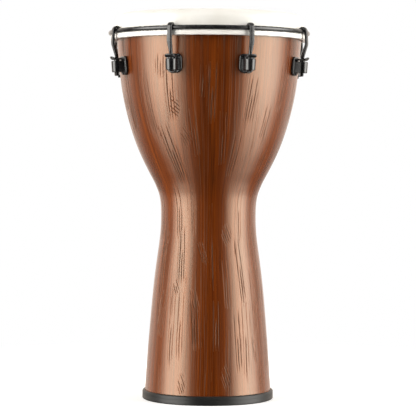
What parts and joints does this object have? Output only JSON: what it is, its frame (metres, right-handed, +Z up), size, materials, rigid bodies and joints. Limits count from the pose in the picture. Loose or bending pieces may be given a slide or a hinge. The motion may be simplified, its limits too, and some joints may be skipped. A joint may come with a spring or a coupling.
{
  "type": "djembe",
  "caption": "Goblet-shaped hand drum with a moulded shell, a synthetic head on a flesh hoop, and a tension ring drawn down by hooks and nuts in bolted lugs.",
  "frame": {"origin": "centre of the foot's underside, on the drum's axis", "axes": "+Z up along the drum's axis to the playing surface; -Y is the side shown in the picture, midway between two lugs"},
  "size_m": [0.3252, 0.3252, 0.6208],
  "materials": {
    "shell": "satin, weathered plank grain in orange brown with dark cracks",
    "foot_rubber": "moulded black rubber, dull sheen",
    "head_film": "off-white coated synthetic film, slight tooth",
    "flesh_hoop": "white painted channel, glossy",
    "black_steel": "black powder coat, semi-gloss",
    "lug_metal": "black powder coat on a casting, semi-gloss",
    "grommet": "black moulded bush, satin",
    "nut_steel": "zinc plated",
    "screw_steel": "zinc plated"
  },
  "bodies": {
    "drum": {"shell": "shell", "foot_ring": "foot_rubber", "head_film": "head_film", "lug_1": "lug_metal", "lug_grommet_1": "grommet", "lug_screw_upper_1": "screw_steel", "lug_screw_lower_1": "screw_steel", "lug_2": "lug_metal", "lug_grommet_2": "grommet", "lug_screw_upper_2": "screw_steel", "lug_screw_lower_2": "screw_steel", "lug_3": "lug_metal", "lug_grommet_3": "grommet", "lug_screw_upper_3": "screw_steel", "lug_screw_lower_3": "screw_steel", "lug_4": "lug_metal", "lug_grommet_4": "grommet", "lug_screw_upper_4": "screw_steel", "lug_screw_lower_4": "screw_steel", "lug_5": "lug_metal", "lug_grommet_5": "grommet", "lug_screw_upper_5": "screw_steel", "lug_screw_lower_5": "screw_steel", "lug_6": "lug_metal", "lug_grommet_6": "grommet", "lug_screw_upper_6": "screw_steel", "lug_screw_lower_6": "screw_steel", "lug_7": "lug_metal", "lug_grommet_7": "grommet", "lug_screw_upper_7": "screw_steel", "lug_screw_lower_7": "screw_steel", "lug_8": "lug_metal", "lug_grommet_8": "grommet", "lug_screw_upper_8": "screw_steel", "lug_screw_lower_8": "screw_steel"},
    "head_hoop": {"flesh_hoop": "flesh_hoop", "tension_ring": "black_steel"},
    "hook_1": {"tuning_hook_1": "black_steel"},
    "nut_1": {"tuning_nut_1": "nut_steel"},
    "hook_2": {"tuning_hook_2": "black_steel"},
    "nut_2": {"tuning_nut_2": "nut_steel"},
    "hook_3": {"tuning_hook_3": "black_steel"},
    "nut_3": {"tuning_nut_3": "nut_steel"},
    "hook_4": {"tuning_hook_4": "black_steel"},
    "nut_4": {"tuning_nut_4": "nut_steel"},
    "hook_5": {"tuning_hook_5": "black_steel"},
    "nut_5": {"tuning_nut_5": "nut_steel"},
    "hook_6": {"tuning_hook_6": "black_steel"},
    "nut_6": {"tuning_nut_6": "nut_steel"},
    "hook_7": {"tuning_hook_7": "black_steel"},
    "nut_7": {"tuning_nut_7": "nut_steel"},
    "hook_8": {"tuning_hook_8": "black_steel"},
    "nut_8": {"tuning_nut_8": "nut_steel"}
  },
  "joints": [
    {"name": "head_tuning", "type": "slide", "parent": "drum", "child": "head_hoop", "axis": [0, 0, 1], "range_m": [-0.002, 0.003]},
    {"name": "hook_draw_1", "type": "slide", "parent": "drum", "child": "hook_1", "axis": [0.016, -0.0387, 0.9991], "range_m": [-0.0021, 0.0031]},
    {"name": "nut_turn_1", "type": "hinge", "parent": "drum", "child": "nut_1", "pos_m": [0.06087, -0.14696, 0.5338], "axis": [0.016, -0.0387, 0.9991], "range_deg": [-1090, 730]},
    {"name": "hook_draw_2", "type": "slide", "parent": "drum", "child": "hook_2", "axis": [0.0387, -0.016, 0.9991], "range_m": [-0.0021, 0.0031]},
    {"name": "nut_turn_2", "type": "hinge", "parent": "drum", "child": "nut_2", "pos_m": [0.14696, -0.06087, 0.5338], "axis": [0.0387, -0.016, 0.9991], "range_deg": [-1090, 730]},
    {"name": "hook_draw_3", "type": "slide", "parent": "drum", "child": "hook_3", "axis": [0.0387, 0.016, 0.9991], "range_m": [-0.0021, 0.0031]},
    {"name": "nut_turn_3", "type": "hinge", "parent": "drum", "child": "nut_3", "pos_m": [0.14696, 0.06087, 0.5338], "axis": [0.0387, 0.016, 0.9991], "range_deg": [-1090, 730]},
    {"name": "hook_draw_4", "type": "slide", "parent": "drum", "child": "hook_4", "axis": [0.016, 0.0387, 0.9991], "range_m": [-0.0021, 0.0031]},
    {"name": "nut_turn_4", "type": "hinge", "parent": "drum", "child": "nut_4", "pos_m": [0.06087, 0.14696, 0.5338], "axis": [0.016, 0.0387, 0.9991], "range_deg": [-1090, 730]},
    {"name": "hook_draw_5", "type": "slide", "parent": "drum", "child": "hook_5", "axis": [-0.016, 0.0387, 0.9991], "range_m": [-0.0021, 0.0031]},
    {"name": "nut_turn_5", "type": "hinge", "parent": "drum", "child": "nut_5", "pos_m": [-0.06087, 0.14696, 0.5338], "axis": [-0.016, 0.0387, 0.9991], "range_deg": [-1090, 730]},
    {"name": "hook_draw_6", "type": "slide", "parent": "drum", "child": "hook_6", "axis": [-0.0387, 0.016, 0.9991], "range_m": [-0.0021, 0.0031]},
    {"name": "nut_turn_6", "type": "hinge", "parent": "drum", "child": "nut_6", "pos_m": [-0.14696, 0.06087, 0.5338], "axis": [-0.0387, 0.016, 0.9991], "range_deg": [-1090, 730]},
    {"name": "hook_draw_7", "type": "slide", "parent": "drum", "child": "hook_7", "axis": [-0.0387, -0.016, 0.9991], "range_m": [-0.0021, 0.0031]},
    {"name": "nut_turn_7", "type": "hinge", "parent": "drum", "child": "nut_7", "pos_m": [-0.14696, -0.06087, 0.5338], "axis": [-0.0387, -0.016, 0.9991], "range_deg": [-1090, 730]},
    {"name": "hook_draw_8", "type": "slide", "parent": "drum", "child": "hook_8", "axis": [-0.016, -0.0387, 0.9991], "range_m": [-0.0021, 0.0031]},
    {"name": "nut_turn_8", "type": "hinge", "parent": "drum", "child": "nut_8", "pos_m": [-0.06087, -0.14696, 0.5338], "axis": [-0.016, -0.0387, 0.9991], "range_deg": [-1090, 730]}
  ],
  "couplings": [
    {"joint": "hook_draw_1", "follows": "head_tuning", "ratio": 1.0009},
    {"joint": "nut_turn_1", "follows": "head_tuning", "rad_per_m": -6288.7},
    {"joint": "hook_draw_2", "follows": "head_tuning", "ratio": 1.0009},
    {"joint": "nut_turn_2", "follows": "head_tuning", "rad_per_m": -6288.7},
    {"joint": "hook_draw_3", "follows": "head_tuning", "ratio": 1.0009},
    {"joint": "nut_turn_3", "follows": "head_tuning", "rad_per_m": -6288.7},
    {"joint": "hook_draw_4", "follows": "head_tuning", "ratio": 1.0009},
    {"joint": "nut_turn_4", "follows": "head_tuning", "rad_per_m": -6288.7},
    {"joint": "hook_draw_5", "follows": "head_tuning", "ratio": 1.0009},
    {"joint": "nut_turn_5", "follows": "head_tuning", "rad_per_m": -6288.7},
    {"joint": "hook_draw_6", "follows": "head_tuning", "ratio": 1.0009},
    {"joint": "nut_turn_6", "follows": "head_tuning", "rad_per_m": -6288.7},
    {"joint": "hook_draw_7", "follows": "head_tuning", "ratio": 1.0009},
    {"joint": "nut_turn_7", "follows": "head_tuning", "rad_per_m": -6288.7},
    {"joint": "hook_draw_8", "follows": "head_tuning", "ratio": 1.0009},
    {"joint": "nut_turn_8", "follows": "head_tuning", "rad_per_m": -6288.7}
  ]
}
